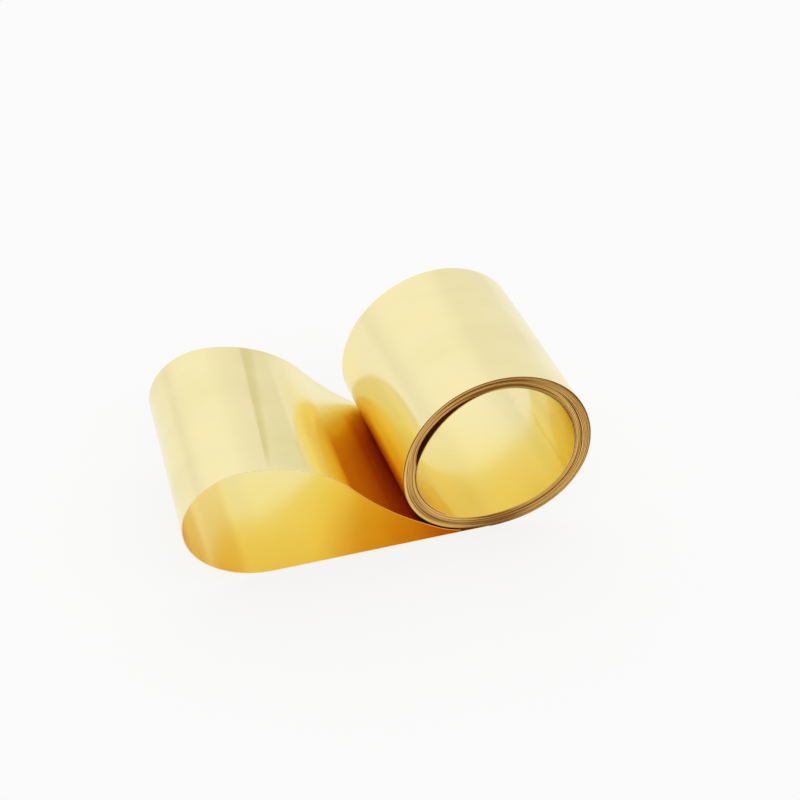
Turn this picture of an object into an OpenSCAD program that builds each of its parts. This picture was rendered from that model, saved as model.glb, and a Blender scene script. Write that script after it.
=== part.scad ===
/* [Sheet] */
// Width of the sheet, which is the length of the roll
sheet_w = 100; // [40:1:300]
// Thickness of the sheet
sheet_t = 0.5; // [0.3:0.05:0.8]

/* [Roll] */
// Outside diameter of the roll
roll_d = 108; // [100:1:150]
// Clear bore inside the innermost turn
bore_d = 88; // [60:1:90]
// Least air between one turn and the next
turn_gap = 0.15; // [0.08:0.01:0.4]
// How deep the gaps between the turns open on each end
end_relief = 3; // [0.5:0.1:6]

/* [Slack innermost turn] */
// Widest gap behind the innermost turn
slack_gap = 3.2; // [1:0.1:4.5]
// Direction of the widest gap from the roll's centre, in degrees above +X
slack_dir = 146; // [100:1:200]
// Angle from the widest place of the gap to each of its tips
slack_reach = 42; // [40:1:80]

/* [Loose end] */
// Straight run on the floor, from under the roll to the first bend
run_l = 119; // [105:1:145]
// Radius of the bend that lifts the sheet off the floor
lift_r = 47.5; // [30:0.5:60]
// Angle turned in that bend
lift_turn = 52; // [40:1:100]
// Radius of the bend at the far left
nose_r = 38.5; // [15:0.5:50]
// Angle turned in that bend
nose_turn = 37; // [10:1:60]
// Radius of the bend that brings the sheet level at its crest
crest_r = 31; // [20:0.5:42]
// Radius in which the sheet falls away after the crest
fall_r = 73.5; // [60:0.5:95]
// Radius of the opposite curve that lays the sheet against the roll
sweep_r = 205; // [150:5:450]
// Air between the tucked end and the sheet around it
tuck_gap = 0.3; // [0.2:0.05:0.6]

/* [Hidden] */
$fn = 180;

roll_r = roll_d / 2;
bore_r = bore_d / 2;

// The innermost turn is round but sits off centre, so that it leaves the gap on one side only
slack_shift = (slack_gap + sheet_t) / 2;
wound_r = bore_r + slack_shift;
bore_centre = [0, roll_r] - slack_shift * [cos(slack_dir), sin(slack_dir)];

// Turns of the wound wall
wall = roll_r - wound_r;
turn_count = floor(wall / (sheet_t + turn_gap));
pitch = wall / turn_count;

// Centres of the right and the left halves of the turns: half a pitch apart, which makes a spiral
right_centre = [0, roll_r];
left_centre = [0, roll_r + pitch / 2];
left_r = roll_r - pitch / 2;

// Arcs of the loose end in the order of travel, each as [centre, radius, start angle, end angle]
crest_turn = 180 - lift_turn - nose_turn;
lift_centre = [-run_l, sheet_t / 2 + lift_r];
lift_end = 270 - lift_turn;
nose_centre = lift_centre + (lift_r - nose_r) * [cos(lift_end), sin(lift_end)];
nose_end = lift_end - nose_turn;
crest_centre = nose_centre + (nose_r - crest_r) * [cos(nose_end), sin(nose_end)];
crest_end = nose_end - crest_turn;
fall_centre = crest_centre + [0, crest_r - fall_r];

// The tucked end lies round the roll, and the sweep is tangent to it and to the fall
tuck_r = left_r + tuck_gap + sheet_t / 2;
centre_gap = left_centre - fall_centre;
centre_dist = norm(centre_gap);
fall_to_sweep = fall_r + sweep_r;
roll_to_sweep = sweep_r - tuck_r;
along = (centre_dist ^ 2 + fall_to_sweep ^ 2 - roll_to_sweep ^ 2) / (2 * centre_dist);
across = sqrt(fall_to_sweep ^ 2 - along ^ 2);
unit_along = centre_gap / centre_dist;
unit_across = [-unit_along[1], unit_along[0]];
sweep_centre = fall_centre + along * unit_along + across * unit_across;
to_sweep = sweep_centre - fall_centre;
to_tuck = left_centre - sweep_centre;
fall_end = atan2(to_sweep[1], to_sweep[0]);
tuck_start = 180 + atan2(-to_tuck[1], -to_tuck[0]);

// The end stops where the wedge between the roll and the floor run is one sheet and two gaps high
nip_angle = acos((left_centre[1] - sheet_t - tuck_gap) / (tuck_r + sheet_t / 2));

loose_arcs = [
    [lift_centre, lift_r, 270, lift_end],
    [nose_centre, nose_r, lift_end, nose_end],
    [crest_centre, crest_r, nose_end, crest_end],
    [fall_centre, fall_r, crest_end, fall_end],
    [sweep_centre, sweep_r, 180 + fall_end, tuck_start],
    [left_centre, tuck_r, tuck_start, 270 - nip_angle],
];

// Points along one arc, spaced so that no chord leaves it by more than chord_error
chord_error = 0.02;
function arc_points(arc, side) =
    let (
        turn = arc[3] - arc[2],
        r = arc[1] - side * sign(turn) * sheet_t / 2,
        steps = ceil(abs(turn) / (2 * acos(1 - chord_error / r)))
    )
    [for (i = [1 : steps]) arc[0] + r * [cos(arc[2] + turn * i / steps), sin(arc[2] + turn * i / steps)]];

// One side of the loose end from the first bend to the tucked edge: 1 is the floor side, -1 the other
function loose_side(side) = [for (arc = loose_arcs) each arc_points(arc, side)];
function reversed(points) = [for (i = [len(points) - 1 : -1 : 0]) points[i]];

floor_side = loose_side(1);
inner_side = loose_side(-1);
far_left = min([for (point = floor_side) point[0]]);
middle_x = (roll_r + far_left) / 2;

// Half-plane to the right of the roll's centre line, or to the left of it for side = -1
module half_plane(side) {
    reach = roll_d + pitch;
    translate([side < 0 ? -reach : 0, -reach]) square([reach, 3 * reach]);
}

// Flat ring of the given outside radius and width, inwards from it
module flat_ring(centre, r, width) {
    translate(centre) difference() {
        circle(r = r);
        circle(r = r - width);
    }
}

// Outline of the wound turns: two half discs, the left one half a pitch smaller
module roll_outline() {
    intersection() {
        translate(right_centre) circle(r = roll_r);
        half_plane(1);
    }
    intersection() {
        translate(left_centre) circle(r = left_r);
        half_plane(-1);
    }
}

// The sheet from under the roll, along the floor, round the loop and back into the nip
module loose_end_outline() {
    polygon(concat(
        [[0, sheet_t], [-run_l, sheet_t]],
        inner_side,
        reversed(floor_side),
        [[-run_l, 0], [0, 0]]
    ));
}

// Crescent left behind the slack innermost turn
module slack_outline() {
    turn_r = bore_r + sheet_t;
    offset_d = slack_gap * (2 * turn_r + slack_gap)
        / (2 * (turn_r + slack_gap - turn_r * cos(slack_reach)));
    translate(bore_centre) difference() {
        translate(offset_d * [cos(slack_dir), sin(slack_dir)])
            circle(r = turn_r + slack_gap - offset_d);
        circle(r = turn_r);
    }
}

// Spiral gap between the turns, one half of each turn at a time
module spiral_gap(side) {
    centre = side > 0 ? right_centre : left_centre;
    outer_r = side > 0 ? roll_r : left_r;
    intersection() {
        for (turn = [0 : turn_count - 2])
            flat_ring(centre, outer_r - turn * pitch - sheet_t, pitch - sheet_t);
        half_plane(side);
    }
}

// Solid as long as given, standing on the outline in the roll's end plane and centred along the roll
module along_roll(length) {
    rotate([90, 0, 0]) linear_extrude(height = length, center = true) children();
}

// The gaps between the turns, open on both ends of the roll
module end_gaps() {
    for (end = [-1, 1])
        translate([0, end * sheet_w / 2, 0])
            along_roll(2 * end_relief) {
                spiral_gap(1);
                spiral_gap(-1);
            }
}

module brass_sheet() {
    color([0.88, 0.78, 0.47])
    translate([-middle_x, 0, 0])
    difference() {
        along_roll(sheet_w) {
            difference() {
                roll_outline();
                translate(bore_centre) circle(r = bore_r);
                slack_outline();
            }
            loose_end_outline();
        }
        end_gaps();
    }
}

brass_sheet();
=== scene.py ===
"""Looks of the roll of brass sheet: one long strip, wound, laid out on the floor and looped back."""

import math

import bpy
import numpy as np
from mathutils import Matrix, Vector


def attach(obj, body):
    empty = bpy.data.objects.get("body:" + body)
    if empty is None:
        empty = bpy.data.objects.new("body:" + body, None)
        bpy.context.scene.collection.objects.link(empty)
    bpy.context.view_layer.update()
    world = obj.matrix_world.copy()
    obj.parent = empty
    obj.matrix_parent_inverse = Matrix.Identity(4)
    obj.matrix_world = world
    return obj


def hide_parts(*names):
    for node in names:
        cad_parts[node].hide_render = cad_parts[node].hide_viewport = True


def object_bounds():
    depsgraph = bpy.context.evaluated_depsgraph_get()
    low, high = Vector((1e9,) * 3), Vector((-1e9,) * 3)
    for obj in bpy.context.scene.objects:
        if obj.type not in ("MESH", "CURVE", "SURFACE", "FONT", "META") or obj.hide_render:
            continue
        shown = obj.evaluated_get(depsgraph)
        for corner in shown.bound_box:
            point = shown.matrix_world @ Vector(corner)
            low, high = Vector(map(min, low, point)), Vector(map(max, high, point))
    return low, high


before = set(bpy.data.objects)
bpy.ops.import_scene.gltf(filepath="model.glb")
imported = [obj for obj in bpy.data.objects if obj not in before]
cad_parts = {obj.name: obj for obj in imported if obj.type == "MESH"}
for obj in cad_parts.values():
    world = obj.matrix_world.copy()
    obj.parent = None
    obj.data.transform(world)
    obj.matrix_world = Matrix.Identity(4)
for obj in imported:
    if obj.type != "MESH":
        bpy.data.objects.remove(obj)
cad_low, cad_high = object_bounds()

MM = 0.001
rng = np.random.default_rng(12)

# Sizes of the sheet and of the roll, in metres, with the air under the sheet on the floor
SHEET_W = 99.0 * MM
SHEET_T = 0.5 * MM
EDGE_BEVEL = 0.06 * MM
ROLL_R = (cad_high.z - cad_low.z) / 2
ROLL_X = cad_high.x - ROLL_R
FLOOR_CLEARANCE = 0.001 * MM

# Full turns outside the slack innermost one
TURNS = 12

# The roll isn't quite round. Each outline has a mean radius, and lobes: how often round, how far out and
# towards which angle
NEAR_OUTSIDE = (
    53.85 * MM,
    ((1, 1.77 * MM, -112), (2, 2.30 * MM, -40), (3, 0.81 * MM, -21), (4, 0.49 * MM, -43)),
)
FAR_OUTSIDE = (
    53.85 * MM,
    ((1, 1.74 * MM, -139), (2, 0.97 * MM, 29), (3, 0.33 * MM, -19)),
)
NEAR_BORE = (
    44.65 * MM,
    ((1, 1.62 * MM, -150), (2, 1.85 * MM, -43), (3, 1.03 * MM, -25), (5, 0.28 * MM, -30)),
)

# Angles between which the roll's lowest place is looked for
LOWEST_FROM_DEG = -130
LOWEST_TO_DEG = -50
LOWEST_STEP_DEG = 0.1

# The slack innermost turn: it ends at the lower left and stands off the turn behind it at the upper left
INNER_END_DEG = 238
SLACK_PEAK_DEG = 154
SLACK_GAP = 3.6 * MM
SLACK_LEFT_DEG = 23
SLACK_RIGHT_DEG = 55
# Beside that crescent it keeps a thin gap: its first angle, and the degrees in which it opens and closes
THIN_GAP = 0.1 * MM
THIN_FROM_DEG = -60
THIN_RISE_DEG = 90
THIN_FALL_DEG = 30
# Its end is lifted a little over its last degrees
END_LIFT = 0.08 * MM
END_LIFT_DEG = 16
# From this many steps before that end, the air under the turns goes over to that at the bottom
END_STEPS = 2

# Air between the turns, uneven so that they lie in groups: how uneven, and its waves round the roll
GAP_SPREAD = 0.9
GAP_WAVES = (1, 2, 3)

# How far the turns' edges stand out of line, and how far from the tucked edge that starts
EDGE_STAGGER = 0.16 * MM
STAGGER_FROM_EDGE = 450 * MM
STAGGER_FADE = 100 * MM

# The loose end: a straight run on the floor, then arcs of these radii and turns in degrees
RUN_L = 118.9 * MM
LIFT_R = 47.5 * MM
LIFT_TURN = 52
NOSE_R = 38.5 * MM
NOSE_TURN = 37
CREST_R = 31 * MM
FALL_R = 71 * MM
SWEEP_R = 185 * MM
TUCK_R = 54.2 * MM
TUCK_END_DEG = 254
# Air between the tucked stretch and the roll, and the distance over which it gives way to the roll
TUCK_GAP = 0.3 * MM
TUCK_SOFTNESS = 0.4 * MM

# Shallow crease beside the crest: how far its sharp side lies from the tucked edge, its width and its depth,
# each at the near and at the far end
CREASE_FROM_EDGE = (131.8 * MM, 124.2 * MM)
CREASE_W = (3.5 * MM, 14 * MM)
CREASE_DEPTH = (0.02 * MM, 0.12 * MM)

# Spacing of the mesh, and the angle from which an edge of it is sharp
TURN_STEPS = 120
PATH_STEP = 0.75 * MM
ROWS = 14
SHARP_DEG = 30

# The camera of the photograph. Its azimuth goes from -Y towards +X, and its angles are in degrees
CAM_TARGET_X = -0.7 * MM
CAM_TARGET_Z = 52.45 * MM
CAM_AZIMUTH = -28.447
CAM_ELEVATION = 38.504
CAM_ROLL = 9.478
CAM_DISTANCE = 544.5 * MM
CAM_PAN = -3.587
CAM_TILT = -0.678
IMAGE_SIZE = 800
FOCAL_PIXELS = 978.8
SENSOR_W = 36.0

# Colours, as linear light
# The first colour is a soft painted shade, the pale one the brass's own, the next three painted reflections
# of brass in brass, and the shaded one painted shade
BRASS_SOFT_SHADE = (0.76, 0.66, 0.30, 1)
BRASS_PALE = (0.92, 0.822, 0.455, 1)
BRASS_REFLECTED_GOLD = (0.963, 0.80, 0.275, 1)
BRASS_REFLECTED_ORANGE = (0.864, 0.56, 0.125, 1)
BRASS_REFLECTED_DEEP = (0.82, 0.52, 0.14, 1)
BRASS_SHADED = (0.66, 0.36, 0.09, 1)
# The edges' dark and light colours span their random streaks and groups and their painted shade
EDGE_LIGHT = (0.80, 0.47, 0.13, 1)
EDGE_DARK = (0.20, 0.085, 0.013, 1)
# Painted shade on the loose end's slit edge over the nip
EDGE_SHADE_BROWN = (0.80, 0.35, 0.06, 1)
BACKGROUND = (0.955, 0.955, 0.955, 1)

# Painted light and shade on the brass: 0 is a soft painted shade, then come these colours, from the brass's
# own pale one through painted reflections of brass in brass, and 1 is painted shade, as between the turns
PALE_AT = 0.1
GOLD_AT = 0.45
ORANGE_AT = 0.82
DEEP_AT = 0.9
# Painted shade in the crescent behind the slack turn, and how far soft random clouds change the value
CRESCENT_SHADE_AT = 0.92
CLOUD_WARMTH = 0.03

# From here to the crease, places along X are from the roll's middle, and heights are from the floor.
# Painted reflection on the inner face in the bore and in the loop, at the near end and towards the far one
BORE_REFLECTION = (0.52, 0.21)
LOOP_REFLECTION = (0.52, 0.27)
# How much warmer the painted reflection in the bore is at its left, and how much cooler at its right
BORE_LEFT_REFLECTION = 0.25
# How much warmer the painted reflection on the loop's inner face is in the bend at the far left
LOOP_LEFT_X = -130 * MM
LOOP_LEFT_FADE = 8 * MM
LOOP_LEFT_REFLECTION = 0.22

# In the nip, the distances from its middle at which its painted shade and reflection are full and at which
# they end, each at the near end and towards the far one
NIP_X = -48 * MM
NIP_Z = 24 * MM
NIP_FULL = (6.5 * MM, 0.5 * MM)
NIP_REACH = (24 * MM, 4 * MM)
# How deep the painted shade and reflection in the nip go
NIP_SHADE = 0.91
# The place across the sheet from which the nip narrows, and over how much of it, as shares of its width
NIP_NARROWS_AT = 0.74
NIP_NARROWS_OVER = 0.16
# The same distances on the inner face behind the nip, and how much of the nip's painted shade shows there
INNER_NIP_FULL = 17 * MM
INNER_NIP_REACH = 55 * MM
INNER_NIP_SHARE = 0.64

# Painted reflection on the roll's flank over the nip, and painted shade then painted reflection on the sheet
# that falls from the crest to it
FLANK_Z = 74 * MM
FLANK_FADE = 33 * MM
FLANK_REFLECTION = 0.46
FALL_X = -126 * MM
FALL_FADE = 16 * MM
FALL_SHADE = 0.035
REFLECTED_FALL_X = -104 * MM
REFLECTED_FALL_FADE = 11 * MM
FALL_REFLECTION = 0.54
# The place across the sheet from which the painted reflection on the fall and the painted shade on the inner
# face behind the nip fade, and over how much of it, as shares of its width
FALL_FADES_AT = 0.26
FALL_FADES_OVER = 0.69

# The crease is darker with a soft painted shade. The shares of its width over which that sets in and fades
# out, and the share of the sheet's width over which it sets in at the near end
CREASE_SHADE = 0.1
CREASE_SHARP_SIDE = 0.15
CREASE_SOFT_SIDE = 0.75
CREASE_NEAR_END = 0.15

# The loose end's slit edges: pale, and a painted brown shade from this far from the tucked edge on
SHADED_EDGE_FROM = 118 * MM
SHADED_EDGE_FADE = 40 * MM

# How much painted shade darkens the wound turns' slit edges, mostly above and below: towards an angle,
# within degrees of it, and by how much; a negative amount is painted light
EDGE_SHADES = ((-84, 32, 0.2), (98, 58, 0.2), (-135, 50, -0.06), (-5, 60, -0.05), (160, 30, 0.08))
# How much darker the outermost turn's edge is, a painted shade line at the rim
RIM_SHADE = 0.2
# Turns in a group, how much the groups differ in tone, and the waves of that round the roll
GROUP_TURNS = 1.1
GROUP_SPREAD = 0.1
GROUP_WAVES = (1, 2, 3, 5)
# Places of the dark, the light and the gold colour in the range of the edges' tone
EDGE_TONES = (0.3, 0.53, 0.8)

# Roughness of the face, between the turns and of the edges, and how far the face draws out reflections
FACE_ROUGHNESS = (0.15, 0.19)
BETWEEN_ROUGHNESS = 0.9
EDGE_ROUGHNESS = 0.45
FACE_ANISOTROPY = 0.6

# Each noise: how often it changes along, across and through the sheet, per metre, and its detail
CLOUDS = ((12, 25, 1), 3)
ROLLING_LINES = ((15, 3500, 1), 4)
EDGE_STREAKS = ((14, 1, 900), 2)
# Values between which such a noise mostly lies
NOISE_LOW = 0.3
NOISE_HIGH = 0.7

# The surround: even light, a little stronger in a soft patch behind and above the object. Its azimuth goes
# from +Y towards +X
SURROUND_LIGHT = 0.92
PATCH_LIGHT = 1.01
PATCH_AZIMUTH = -20
PATCH_ELEVATION = 33
PATCH_FULL_DEG = 14
PATCH_END_DEG = 36

# The floor: its light in the metal, how bright it looks itself, how much of its shadow shows, its
# roughness, how far it reaches, and how far it lies below the object
FLOOR_LIGHT = 0.98
FLOOR_LIFT = 1.03
FLOOR_ROUGHNESS = 0.9
SHADOW_SHARE = 0.2
FLOOR_REACH = 6.0
FLOOR_DROP = 0.05 * MM

# How often light is followed from face to face in the nip and between the turns
MIRROR_BOUNCES = 24


def unit(degrees):
    """Unit vector in the roll's end plane."""
    return np.array([math.cos(math.radians(degrees)), math.sin(math.radians(degrees))])


def smooth_step(t):
    """0 to 1 with level ends."""
    t = np.clip(t, 0, 1)
    return t * t * (3 - 2 * t)


def bump(degrees, centre, half_width):
    """1 at the centre angle, falling smoothly to 0 half a width away."""
    away = np.abs((degrees - centre + 180) % 360 - 180)
    return smooth_step(1 - away / half_width)


def from_near(pair, share):
    """Goes from the pair's first value, for the near end, to its second as share goes from 0 to 1."""
    near, far = pair
    return near + (far - near) * share


# The wound turns


def lobed(shape, angle):
    """Radius at an angle, from a mean radius and lobes."""
    mean, lobes = shape
    return mean + sum(size * np.cos(order * (angle - math.radians(at))) for order, size, at in lobes)


def outer_r(angle, across):
    """The roll's outer radius at an angle and at a place across: 0 is the near end, 1 the far one."""
    return lobed(NEAR_OUTSIDE, angle) * (1 - across) + lobed(FAR_OUTSIDE, angle) * across


def lowest(across):
    """Angle and height of the roll's lowest place, for each place across the sheet."""
    angle = np.radians(np.arange(LOWEST_FROM_DEG, LOWEST_TO_DEG, LOWEST_STEP_DEG))
    z = ROLL_R + outer_r(angle[:, None], across[None, :]) * np.sin(angle)[:, None]
    return angle[z.argmin(0)], z.min(0)


def slack(degrees):
    """How far the innermost turn stands off the one behind it, from its start to its end."""
    left = np.clip(1 - ((degrees - SLACK_PEAK_DEG) / SLACK_LEFT_DEG) ** 2, 0, 1)
    right = np.cos(np.radians(90) * np.clip((SLACK_PEAK_DEG - degrees) / SLACK_RIGHT_DEG, 0, 1)) ** 2
    crescent = SLACK_GAP * np.where(degrees > SLACK_PEAK_DEG, left, right)
    opens = smooth_step((degrees - THIN_FROM_DEG) / THIN_RISE_DEG)
    closes = smooth_step((SLACK_PEAK_DEG + THIN_FALL_DEG - degrees) / THIN_FALL_DEG)
    return np.maximum(crescent, THIN_GAP * opens * closes)


def layer_gaps():
    """Share of the air under each turn, at each step round the roll: random, smooth, the same each run."""
    angle = np.linspace(0, 2 * math.pi, TURN_STEPS, endpoint=False)
    share = np.empty((TURNS + 2, TURN_STEPS))
    for turn in range(TURNS + 2):
        wave = rng.normal(0, GAP_SPREAD)
        for order in GAP_WAVES:
            height = GAP_SPREAD / (1 + order) * rng.normal()
            wave = wave + height * np.cos(order * angle + rng.uniform(0, 2 * math.pi))
        share[turn] = np.exp(wave)
    return share


def wound_depths():
    """Depth of the strip's middle line below the roll's outside, at each step from the outer end in."""
    share = layer_gaps()
    sums = np.vstack([np.zeros(TURN_STEPS), np.cumsum(share, 0)])
    steps = round((TURNS + (INNER_END_DEG + 90) / 360) * TURN_STEPS)
    index = np.arange(steps + 1)
    place = index % TURN_STEPS
    turned = index / TURN_STEPS

    def air_sum(turn, place):
        whole = np.floor(turn).astype(int)
        return sums[whole, place] + (turn - whole) * share[whole, place]

    # The air at each angle fills what the turns leave between the outside and the bore
    around = np.arange(TURN_STEPS)
    degrees = -90 + 360 * around / TURN_STEPS
    angle = np.radians(degrees)
    part = around / TURN_STEPS
    wall = lobed(NEAR_OUTSIDE, angle) - lobed(NEAR_BORE, angle) - slack(degrees)
    air = (wall - (TURNS + part + 1) * SHEET_T) / air_sum(TURNS + part, around)
    # Past the inner end the innermost turn is missing, so the air there joins its two neighbours
    last = round((INNER_END_DEG + 90) / 360 * TURN_STEPS) - END_STEPS
    air[last:] = np.linspace(air[last], air[0], TURN_STEPS - last, endpoint=False)
    depth = SHEET_T / 2 + turned * SHEET_T + air[place] * air_sum(turned, place)
    inner = index > steps - TURN_STEPS
    unwound = -90 + 360 * (index - TURNS * TURN_STEPS) / TURN_STEPS
    depth[inner] += slack(unwound[inner])
    depth[inner] += END_LIFT * np.clip(1 - (INNER_END_DEG - unwound[inner]) / END_LIFT_DEG, 0, 1) ** 2
    return depth


def wound_surface(across):
    """Middle surface of the wound turns from the innermost end out: steps x places across x 2."""
    depth = wound_depths()[:, None]
    leave, foot = lowest(across)
    turned = 2 * math.pi * np.arange(len(depth))[:, None] / TURN_STEPS
    angle = -math.pi / 2 + (leave + math.pi / 2)[None, :] * np.exp(-turned) + turned
    r = outer_r(angle, across[None, :]) - depth
    return np.stack([r * np.cos(angle), ROLL_R - foot[None, :] + r * np.sin(angle)], 2)[::-1]


# The loose end


def arc(centre, r, start, end):
    """Points along an arc, without its first one."""
    steps = math.ceil(abs(math.radians(end - start)) * r / PATH_STEP)
    angles = np.radians(start + (end - start) * np.arange(1, steps + 1) / steps)
    return centre + r * np.stack([np.cos(angles), np.sin(angles)], 1)


def loop_path():
    """Middle line of the loose end after its run on the floor, up to the tucked edge."""
    lift_centre = np.array([-RUN_L, SHEET_T / 2 + LIFT_R])
    lift_end = 270 - LIFT_TURN
    nose_centre = lift_centre + (LIFT_R - NOSE_R) * unit(lift_end)
    nose_end = lift_end - NOSE_TURN
    crest_centre = nose_centre + (NOSE_R - CREST_R) * unit(nose_end)
    fall_centre = crest_centre + np.array([0, CREST_R - FALL_R])
    roll_centre = np.array([0, ROLL_R])
    # The sweep is tangent to the fall and to the tucked stretch round the roll
    between = roll_centre - fall_centre
    distance = np.linalg.norm(between)
    outer, inner = FALL_R + SWEEP_R, SWEEP_R - TUCK_R
    along = (distance**2 + outer**2 - inner**2) / (2 * distance)
    across = math.sqrt(outer**2 - along**2)
    forward = between / distance
    sweep_centre = fall_centre + along * forward + across * np.array([-forward[1], forward[0]])
    to_sweep, to_tuck = sweep_centre - fall_centre, roll_centre - sweep_centre
    fall_end = math.degrees(math.atan2(to_sweep[1], to_sweep[0]))
    tuck_start = 180 + math.degrees(math.atan2(-to_tuck[1], -to_tuck[0]))
    return np.vstack([
        arc(lift_centre, LIFT_R, 270, lift_end),
        arc(nose_centre, NOSE_R, lift_end, nose_end),
        arc(crest_centre, CREST_R, nose_end, 90),
        arc(fall_centre, FALL_R, 90, fall_end),
        arc(sweep_centre, SWEEP_R, 180 + fall_end, tuck_start),
        arc(roll_centre, TUCK_R, tuck_start, TUCK_END_DEG),
    ])


def clear_of_roll(points, across):
    """Moves the tucked stretch outwards where the uneven roll would touch it."""
    centre = np.stack([np.zeros(len(across)), ROLL_R - lowest(across)[1]], 1)[None]
    offset = points - centre
    distance = np.linalg.norm(offset, axis=2)
    angle = np.arctan2(offset[..., 1], offset[..., 0])
    room = distance - outer_r(angle, across[None, :]) - TUCK_GAP - SHEET_T / 2
    moved = distance + TUCK_SOFTNESS * np.logaddexp(0, -room / TUCK_SOFTNESS)
    return centre + offset * (moved / distance)[..., None]


def loose_surface(start, across):
    """Middle surface of the loose end from the wound turns' last row on: steps x places across x 2."""
    rows = len(across)
    steps = math.ceil(RUN_L / PATH_STEP)
    part = np.arange(1, steps + 1)[:, None] / steps
    run_x = start[None, :, 0] * (1 - part) - RUN_L * part
    run = np.stack([run_x, np.full((steps, rows), SHEET_T / 2)], 2)
    loop = np.repeat(loop_path()[:, None, :], rows, 1)
    return np.concatenate([run, clear_of_roll(loop, across)])


def crease(from_tucked_edge, across):
    """Where each point lies in the crease, from 0 at its sharp side to 1 at its soft one, and its depth."""
    start, width, depth = (from_near(pair, across) for pair in (CREASE_FROM_EDGE, CREASE_W, CREASE_DEPTH))
    share = (start - from_tucked_edge) / width
    return share, depth


# The whole strip


def section():
    """The sheet's section: top face near to far, then under face far to near, as (across, through)."""
    half_w, half_t = SHEET_W / 2, SHEET_T / 2
    flat = np.linspace(-half_w + EDGE_BEVEL, half_w - EDGE_BEVEL, ROWS)
    top = [(y, half_t) for y in flat]
    far = [(half_w, half_t - EDGE_BEVEL), (half_w, -half_t + EDGE_BEVEL)]
    under = [(y, -half_t) for y in flat[::-1]]
    near = [(-half_w, -half_t + EDGE_BEVEL), (-half_w, half_t - EDGE_BEVEL)]
    return np.array(top + far + under + near)


def edge_stagger(along):
    """How far each stretch of the strip stands out towards the near end."""
    turn_l = math.pi * (ROLL_R + NEAR_BORE[0])
    knots = np.arange(0, along[-1] + turn_l, turn_l / 2)
    offset = np.interp(along, knots, rng.uniform(-EDGE_STAGGER, EDGE_STAGGER, len(knots)))
    loose = smooth_step((along - (along[-1] - STAGGER_FROM_EDGE)) / STAGGER_FADE)
    return offset * (1 - loose)


def strip_faces(count, size, wound_rows):
    """Faces between count sections of size points each, and their materials in the order of make_sheet."""
    faces, materials = [], []
    # The faces of the far slit edge and of the near one, with their bevels
    edge_columns = set(range(ROWS - 1, ROWS + 2)) | set(range(2 * ROWS + 1, 2 * ROWS + 4))
    for i in range(count - 1):
        for j in range(size):
            k = (j + 1) % size
            faces.append((i * size + j, i * size + k, (i + 1) * size + k, (i + 1) * size + j))
            edge_material = 1 if i < wound_rows else 2
            materials.append(edge_material if j in edge_columns else 0)
    faces.append(tuple(range(size - 1, -1, -1)))
    faces.append(tuple((count - 1) * size + j for j in range(size)))
    materials += [0, 2]
    return faces, materials


def store(mesh, name, kind, values):
    """Keeps a value or a vector for each point of the mesh, under a name that the materials read."""
    attribute = mesh.attributes.new(name, kind, "POINT")
    field = "vector" if kind == "FLOAT_VECTOR" else "value"
    attribute.data.foreach_set(field, values.astype(np.float32).ravel())


def sheet_mesh():
    """The whole strip as one closed mesh, with its places and tones for the materials."""
    ring = section()
    size = len(ring)
    across = ring[:, 0] / SHEET_W + 0.5
    wound = wound_surface(across)
    surface = np.concatenate([wound, loose_surface(wound[-1], across)])
    count = len(surface)
    step = np.linalg.norm(np.diff(surface.mean(1), axis=0), axis=1)
    along = np.concatenate([[0], np.cumsum(step)])
    from_tucked_edge = along[-1] - along
    tangent = np.gradient(surface, axis=0)
    tangent /= np.linalg.norm(tangent, axis=2)[..., None]
    normal = np.stack([-tangent[..., 1], tangent[..., 0]], 2)
    share, depth = crease(from_tucked_edge[:, None], across)
    dent = depth * np.sin(math.pi * np.clip(share, 0, 1)) ** 2
    xz = surface + normal * (ring[None, :, 1] - dent)[..., None]
    y = ring[None, :, 0] + edge_stagger(along)[:, None]
    points = np.stack([xz[..., 0] + ROLL_X, y, xz[..., 1] + FLOOR_CLEARANCE], 2).reshape(-1, 3)
    faces, materials = strip_faces(count, size, len(wound))
    mesh = bpy.data.meshes.new("brass_strip")
    mesh.from_pydata(points.tolist(), [], faces)
    mesh.polygons.foreach_set("material_index", materials)
    mesh.shade_smooth()
    mesh.set_sharp_from_angle(angle=math.radians(SHARP_DEG))
    place = np.stack([np.repeat(along, size), np.tile(ring[:, 0], count), np.tile(ring[:, 1], count)], 1)
    store(mesh, "sheet_place", "FLOAT_VECTOR", place)
    # Painted light and shade for the faces, and random groups with painted shade for the wound turns' edges
    store(mesh, "painted_light_and_shade", "FLOAT", painted_light_and_shade(xz, across, ring[None, :, 1], len(wound), from_tucked_edge))
    store(mesh, "edge_groups_and_painted_shade", "FLOAT", edge_groups_and_painted_shade(xz, len(wound)))
    mesh.update()
    return mesh


# Painted light and shade, and random edge tone, by place on the sheet


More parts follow.
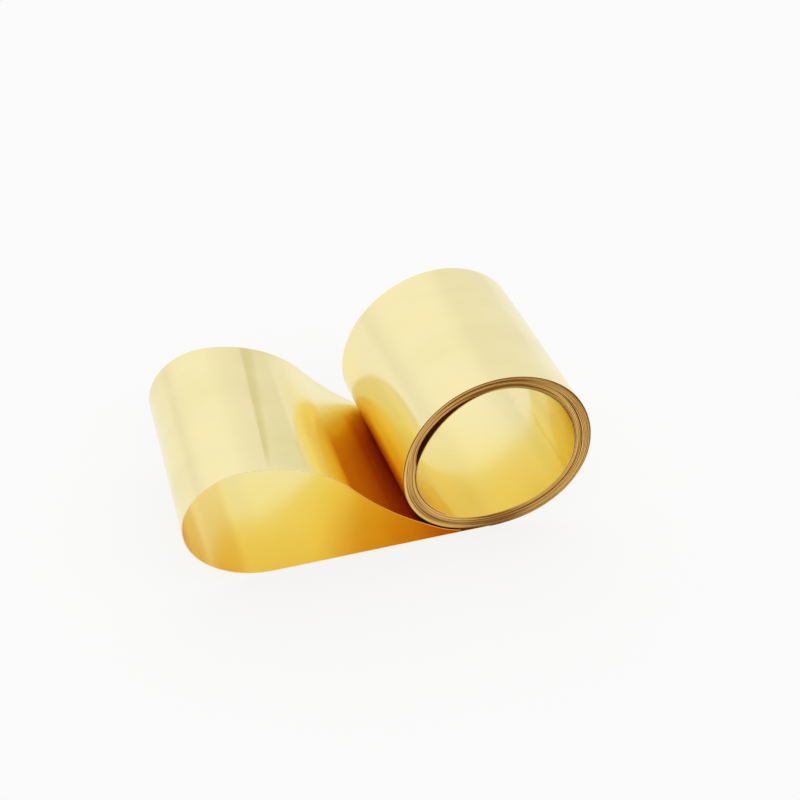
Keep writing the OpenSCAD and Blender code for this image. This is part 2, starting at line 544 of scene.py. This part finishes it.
def outside_painted_light_and_shade(x, z, across, wound, from_tucked_edge):
    """Painted light and shade on the roll's flank, and on the loose end's upper face with its nip and its
    crease.
    """
    narrow = smooth_step((across - NIP_NARROWS_AT) / NIP_NARROWS_OVER)
    full, reach = from_near(NIP_FULL, narrow), from_near(NIP_REACH, narrow)
    nip = smooth_step((reach - np.hypot(x - NIP_X, z - NIP_Z)) / (reach - full))
    share, _ = crease(from_tucked_edge, across)
    across_crease = smooth_step(share / CREASE_SHARP_SIDE) * smooth_step((1 - share) / CREASE_SOFT_SIDE)
    streak = across_crease * smooth_step(across / CREASE_NEAR_END)
    past_crest = smooth_step((x - FALL_X) / FALL_FADE)
    before_warm = smooth_step((REFLECTED_FALL_X + REFLECTED_FALL_FADE - x) / REFLECTED_FALL_FADE)
    # Soft painted shade past the crest and in the crease
    dim_shade = np.maximum(FALL_SHADE * (past_crest * before_warm), CREASE_SHADE * streak)
    fading = smooth_step((across - FALL_FADES_AT) / FALL_FADES_OVER)
    # Painted reflection on the fall towards the nip, fading across the sheet
    fall_reflection = FALL_REFLECTION * smooth_step((x - REFLECTED_FALL_X) / REFLECTED_FALL_FADE) * (1 - fading)
    flank = PALE_AT + FLANK_REFLECTION * smooth_step((FLANK_Z - z) / FLANK_FADE) * (x < 0)
    return np.where(wound, flank, np.maximum(PALE_AT - dim_shade + fall_reflection, NIP_SHADE * nip))


def inside_painted_light_and_shade(x, z, across, wound):
    """Painted reflection in the bore and on the loop's inner face, with painted shade behind the nip."""
    deep = smooth_step(across)
    sideways = np.where(x < 0, 1 - deep, 1) * x / NEAR_BORE[0]
    bore = np.maximum(from_near(BORE_REFLECTION, deep) - BORE_LEFT_REFLECTION * sideways, PALE_AT)
    loop = from_near(LOOP_REFLECTION, deep) + LOOP_LEFT_REFLECTION * smooth_step((LOOP_LEFT_X - x) / LOOP_LEFT_FADE)
    fading = smooth_step((across - FALL_FADES_AT) / FALL_FADES_OVER)
    from_nip = np.hypot(x - NIP_X, z - NIP_Z)
    nip = smooth_step((INNER_NIP_REACH - from_nip) / (INNER_NIP_REACH - INNER_NIP_FULL)) * (1 - fading)
    return np.where(wound, bore, loop + (NIP_SHADE - loop) * INNER_NIP_SHARE * nip)


def painted_light_and_shade(xz, across, through, wound_rows, from_tucked_edge):
    """The painted light and shade of each point of the sheet: steps x points of the section."""
    x, z = xz[..., 0], xz[..., 1]
    row = np.arange(len(xz))[:, None]
    wound = row < wound_rows
    inner = through < 0
    from_tucked_edge = from_tucked_edge[:, None]
    inside = inside_painted_light_and_shade(x, z, across, wound)
    outside = outside_painted_light_and_shade(x, z, across, wound, from_tucked_edge)
    value = np.where(inner, inside, outside)
    # The loose end's slit edges, which are the points past the bevel, with painted shade towards the nip
    loose_edge = ~wound & (np.abs(across - 0.5) > 0.5 - EDGE_BEVEL / SHEET_W / 2)
    edge_shade = smooth_step((SHADED_EDGE_FROM - from_tucked_edge) / SHADED_EDGE_FADE)
    value = np.where(loose_edge, PALE_AT + (1 - PALE_AT) * edge_shade, value)
    # Painted shade between the turns, a little less deep in the crescent: all wound faces but the bore's and
    # the outermost one
    hidden = wound & np.where(inner, row > TURN_STEPS, row < wound_rows - TURN_STEPS)
    crescent = hidden & (row < np.where(inner, 2, 1) * TURN_STEPS)
    return np.where(crescent, CRESCENT_SHADE_AT, np.where(hidden, 1, value))


def edge_groups_and_painted_shade(xz, wound_rows):
    """How much lighter or darker the wound turns' slit edges are: random groups, painted light and shade by
    angle and rim.
    """
    wound = np.arange(wound_rows)
    turn = (wound_rows - 1 - wound) / TURN_STEPS
    angle = np.arctan2(xz[:, 0, 1] - ROLL_R, xz[:, 0, 0])
    groups = np.array([
        sum(
            rng.normal() / order * np.cos(order * angle + rng.uniform(0, 2 * math.pi))
            for order in GROUP_WAVES
        )
        for _ in range(TURNS + 3)
    ])
    first = np.floor(turn / GROUP_TURNS).astype(int)
    part = smooth_step(turn / GROUP_TURNS - first)
    lift = np.zeros(len(xz))
    lift[wound] = GROUP_SPREAD * (groups[first, wound] * (1 - part) + groups[first + 1, wound] * part)
    for centre, half_width, shade in EDGE_SHADES:
        lift[wound] -= shade * bump(np.degrees(angle[wound]), centre, half_width)
    lift[wound] -= RIM_SHADE * (turn < 1)
    return np.repeat(lift[:, None], xz.shape[1], 1)


# Materials


def new_material(name):
    """A material with its node tree and shader."""
    material = bpy.data.materials.new(name)
    material.use_nodes = True
    tree = material.node_tree
    return material, tree, tree.nodes["Principled BSDF"]


def stored(tree, name, output="Fac"):
    """What the mesh keeps under a name."""
    node = tree.nodes.new("ShaderNodeAttribute")
    node.attribute_name = name
    return node.outputs[output]


def added(tree, first, second):
    """Sum of two numbers."""
    node = tree.nodes.new("ShaderNodeMath")
    node.operation = "ADD"
    tree.links.new(first, node.inputs[0])
    tree.links.new(second, node.inputs[1])
    return node.outputs["Value"]


def sheet_noise(tree, kind):
    """Noise of one kind, stretched along the sheet."""
    scale, detail = kind
    stretch = tree.nodes.new("ShaderNodeVectorMath")
    stretch.operation = "MULTIPLY"
    stretch.inputs[1].default_value = scale
    noise = tree.nodes.new("ShaderNodeTexNoise")
    noise.inputs["Scale"].default_value = 1
    noise.inputs["Detail"].default_value = detail
    tree.links.new(stored(tree, "sheet_place", "Vector"), stretch.inputs[0])
    tree.links.new(stretch.outputs["Vector"], noise.inputs["Vector"])
    return noise.outputs["Fac"]


def ramp(tree, value, *stops):
    """Colour that goes through stops, each a position and a colour."""
    node = tree.nodes.new("ShaderNodeValToRGB")
    elements = node.color_ramp.elements
    while len(elements) < len(stops):
        elements.new(1)
    for element, (position, colour) in zip(elements, stops):
        element.position = position
        element.color = colour
    tree.links.new(value, node.inputs["Fac"])
    return node.outputs["Color"]


def spread(tree, value, low, high):
    """Number that goes from low to high as value goes over the noise's range."""
    node = tree.nodes.new("ShaderNodeMapRange")
    node.inputs["From Min"].default_value = NOISE_LOW
    node.inputs["From Max"].default_value = NOISE_HIGH
    node.inputs["To Min"].default_value = low
    node.inputs["To Max"].default_value = high
    tree.links.new(value, node.inputs["Value"])
    return node.outputs["Result"]


def matt_between_turns(tree, tone, gloss):
    """Roughness that rises from the gloss of the face to that between the turns."""
    node = tree.nodes.new("ShaderNodeMapRange")
    node.inputs["From Min"].default_value = DEEP_AT
    node.inputs["To Max"].default_value = BETWEEN_ROUGHNESS
    tree.links.new(tone, node.inputs["Value"])
    tree.links.new(gloss, node.inputs["To Min"])
    return node.outputs["Result"]


def way_across(tree):
    """Direction across the sheet, which is along the roll."""
    width_way = tree.nodes.new("ShaderNodeCombineXYZ")
    width_way.inputs["Y"].default_value = 1
    turned = tree.nodes.new("ShaderNodeVectorTransform")
    turned.convert_from = "OBJECT"
    turned.convert_to = "WORLD"
    tree.links.new(width_way.outputs["Vector"], turned.inputs["Vector"])
    return turned.outputs["Vector"]


def brass_face():
    """Bright rolled brass, whose reflections are drawn out across the rolling lines."""
    material, tree, shader = new_material("brass_face")
    shader.inputs["Metallic"].default_value = 1
    shader.inputs["Anisotropic"].default_value = FACE_ANISOTROPY
    tone = stored(tree, "painted_light_and_shade")
    clouds = spread(tree, sheet_noise(tree, CLOUDS), -CLOUD_WARMTH, CLOUD_WARMTH)
    # The colour follows the painted light and shade kept on the mesh, shifted a little by random clouds
    colour = ramp(
        tree, added(tree, tone, clouds),
        (0, BRASS_SOFT_SHADE), (PALE_AT, BRASS_PALE), (GOLD_AT, BRASS_REFLECTED_GOLD),
        (ORANGE_AT, BRASS_REFLECTED_ORANGE), (DEEP_AT, BRASS_REFLECTED_DEEP), (1, BRASS_SHADED),
    )
    gloss = spread(tree, sheet_noise(tree, ROLLING_LINES), *FACE_ROUGHNESS)
    tree.links.new(colour, shader.inputs["Base Color"])
    tree.links.new(matt_between_turns(tree, tone, gloss), shader.inputs["Roughness"])
    tree.links.new(way_across(tree), shader.inputs["Tangent"])
    return material


def brass_edge():
    """Slit edge of the wound turns: duller, browner, streaked along the cut, with painted shade above and
    below.
    """
    material, tree, shader = new_material("brass_edge")
    shader.inputs["Metallic"].default_value = 1
    shader.inputs["Roughness"].default_value = EDGE_ROUGHNESS
    # Random groups and streaks, with painted shade and light by angle
    tone = added(tree, stored(tree, "edge_groups_and_painted_shade"), sheet_noise(tree, EDGE_STREAKS))
    colour = ramp(tree, tone, *zip(EDGE_TONES, (EDGE_DARK, EDGE_LIGHT, BRASS_REFLECTED_GOLD)))
    tree.links.new(colour, shader.inputs["Base Color"])
    return material


def brass_loose_edge():
    """Slit edge of the loose end: as pale as the sheet round the loop, with painted brown shade over the
    nip.
    """
    material, tree, shader = new_material("brass_loose_edge")
    shader.inputs["Metallic"].default_value = 1
    shader.inputs["Roughness"].default_value = EDGE_ROUGHNESS
    colour = ramp(tree, stored(tree, "painted_light_and_shade"), (PALE_AT, BRASS_PALE), (1, EDGE_SHADE_BROWN))
    tree.links.new(colour, shader.inputs["Base Color"])
    return material


def mixed(tree, first, second):
    """Node that goes from the first shader to the second as its Fac goes from 0 to 1."""
    node = tree.nodes.new("ShaderNodeMixShader")
    tree.links.new(first, node.inputs[1])
    tree.links.new(second, node.inputs[2])
    return node


def switch(tree, choice, first, second):
    """The first shader where choice is 0, and the second where it is 1."""
    node = mixed(tree, first, second)
    tree.links.new(choice, node.inputs["Fac"])
    return node.outputs["Shader"]


def emission(tree, colour, strength):
    """Plain light of a colour and a strength."""
    node = tree.nodes.new("ShaderNodeEmission")
    node.inputs["Color"].default_value = colour
    node.inputs["Strength"].default_value = strength
    return node.outputs["Emission"]


def floor_material():
    """Plain white floor with a faint shadow, which the metal reflects as white all over."""
    material, tree, shader = new_material("floor_white")
    shader.inputs["Base Color"].default_value = BACKGROUND
    shader.inputs["Roughness"].default_value = FLOOR_ROUGHNESS
    shader.inputs["Specular IOR Level"].default_value = 0
    path = tree.nodes.new("ShaderNodeLightPath")
    plain = emission(tree, BACKGROUND, FLOOR_LIFT)
    glow = emission(tree, (1, 1, 1, 1), FLOOR_LIGHT)
    seen = mixed(tree, plain, shader.outputs["BSDF"])
    seen.inputs["Fac"].default_value = SHADOW_SHARE
    lit = switch(tree, path.outputs["Is Camera Ray"], shader.outputs["BSDF"], seen.outputs["Shader"])
    floor = switch(tree, path.outputs["Is Glossy Ray"], lit, glow)
    tree.links.new(floor, tree.nodes["Material Output"].inputs["Surface"])
    return material


# The object and its stage


def make_sheet():
    """The piece that stands for the CAD node."""
    piece = bpy.data.objects.new("brass_strip", sheet_mesh())
    bpy.context.scene.collection.objects.link(piece)
    for material in (brass_face(), brass_edge(), brass_loose_edge()):
        piece.data.materials.append(material)
    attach(piece, "root")
    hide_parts("brass_sheet")


def make_floor():
    """A large pale floor under the object."""
    mesh = bpy.data.meshes.new("floor")
    corners = [(x * FLOOR_REACH, y * FLOOR_REACH, 0) for x, y in ((-1, -1), (1, -1), (1, 1), (-1, 1))]
    mesh.from_pydata(corners, [], [(0, 1, 2, 3)])
    floor = bpy.data.objects.new("floor", mesh)
    floor.location.z = -FLOOR_DROP
    bpy.context.scene.collection.objects.link(floor)
    mesh.materials.append(floor_material())


def soft_patch(tree):
    """Strength of the surround's light, which rises smoothly towards the middle of the patch."""
    azimuth, elevation = math.radians(PATCH_AZIMUTH), math.radians(PATCH_ELEVATION)
    direction = tree.nodes.new("ShaderNodeTexCoord")
    closeness = tree.nodes.new("ShaderNodeVectorMath")
    closeness.operation = "DOT_PRODUCT"
    closeness.inputs[1].default_value = (
        math.sin(azimuth) * math.cos(elevation),
        math.cos(azimuth) * math.cos(elevation),
        math.sin(elevation),
    )
    patch = tree.nodes.new("ShaderNodeMapRange")
    patch.interpolation_type = "SMOOTHSTEP"
    patch.inputs["From Min"].default_value = math.cos(math.radians(PATCH_END_DEG))
    patch.inputs["From Max"].default_value = math.cos(math.radians(PATCH_FULL_DEG))
    patch.inputs["To Min"].default_value = SURROUND_LIGHT
    patch.inputs["To Max"].default_value = PATCH_LIGHT
    tree.links.new(direction.outputs["Generated"], closeness.inputs[0])
    tree.links.new(closeness.outputs["Value"], patch.inputs["Value"])
    return patch.outputs["Result"]


def make_world():
    """White surround, even but for one soft patch, and plain white behind the object."""
    world = bpy.data.worlds.new("surround")
    world.use_nodes = True
    bpy.context.scene.world = world
    tree = world.node_tree
    light = tree.nodes["Background"]
    light.inputs["Color"].default_value = (1, 1, 1, 1)
    tree.links.new(soft_patch(tree), light.inputs["Strength"])
    plain = tree.nodes.new("ShaderNodeBackground")
    plain.inputs["Color"].default_value = BACKGROUND
    path = tree.nodes.new("ShaderNodeLightPath")
    behind = path.outputs["Is Camera Ray"]
    seen = switch(tree, behind, light.outputs["Background"], plain.outputs["Background"])
    tree.links.new(seen, tree.nodes["World Output"].inputs["Surface"])


def make_camera():
    """The photograph's camera: set from close to the middle of the roll, then panned and tilted off it."""
    a, e, roll = (math.radians(x) for x in (CAM_AZIMUTH, CAM_ELEVATION, CAM_ROLL))
    back = Vector((math.sin(a) * math.cos(e), -math.cos(a) * math.cos(e), math.sin(e)))
    right = Vector((math.cos(a), math.sin(a), 0))
    up = back.cross(right)
    target = Vector((ROLL_X + CAM_TARGET_X, 0, CAM_TARGET_Z))
    forward = -back + math.tan(math.radians(CAM_PAN)) * right + math.tan(math.radians(CAM_TILT)) * up
    forward.normalize()
    right = (right - forward * right.dot(forward)).normalized()
    up = right.cross(forward)
    right, up = (
        math.cos(roll) * right + math.sin(roll) * up,
        -math.sin(roll) * right + math.cos(roll) * up,
    )
    data = bpy.data.cameras.new("camera")
    data.sensor_width = SENSOR_W
    data.lens = FOCAL_PIXELS * SENSOR_W / IMAGE_SIZE
    camera = bpy.data.objects.new("camera", data)
    turn = Matrix((right, up, -forward)).transposed().to_4x4()
    camera.matrix_world = Matrix.Translation(target + back * CAM_DISTANCE) @ turn
    bpy.context.scene.collection.objects.link(camera)
    bpy.context.scene.camera = camera


make_camera()
make_sheet()
make_floor()
make_world()
bpy.context.scene.cycles.max_bounces = MIRROR_BOUNCES
bpy.context.scene.cycles.glossy_bounces = MIRROR_BOUNCES
bpy.context.scene.view_settings.view_transform = "Standard"
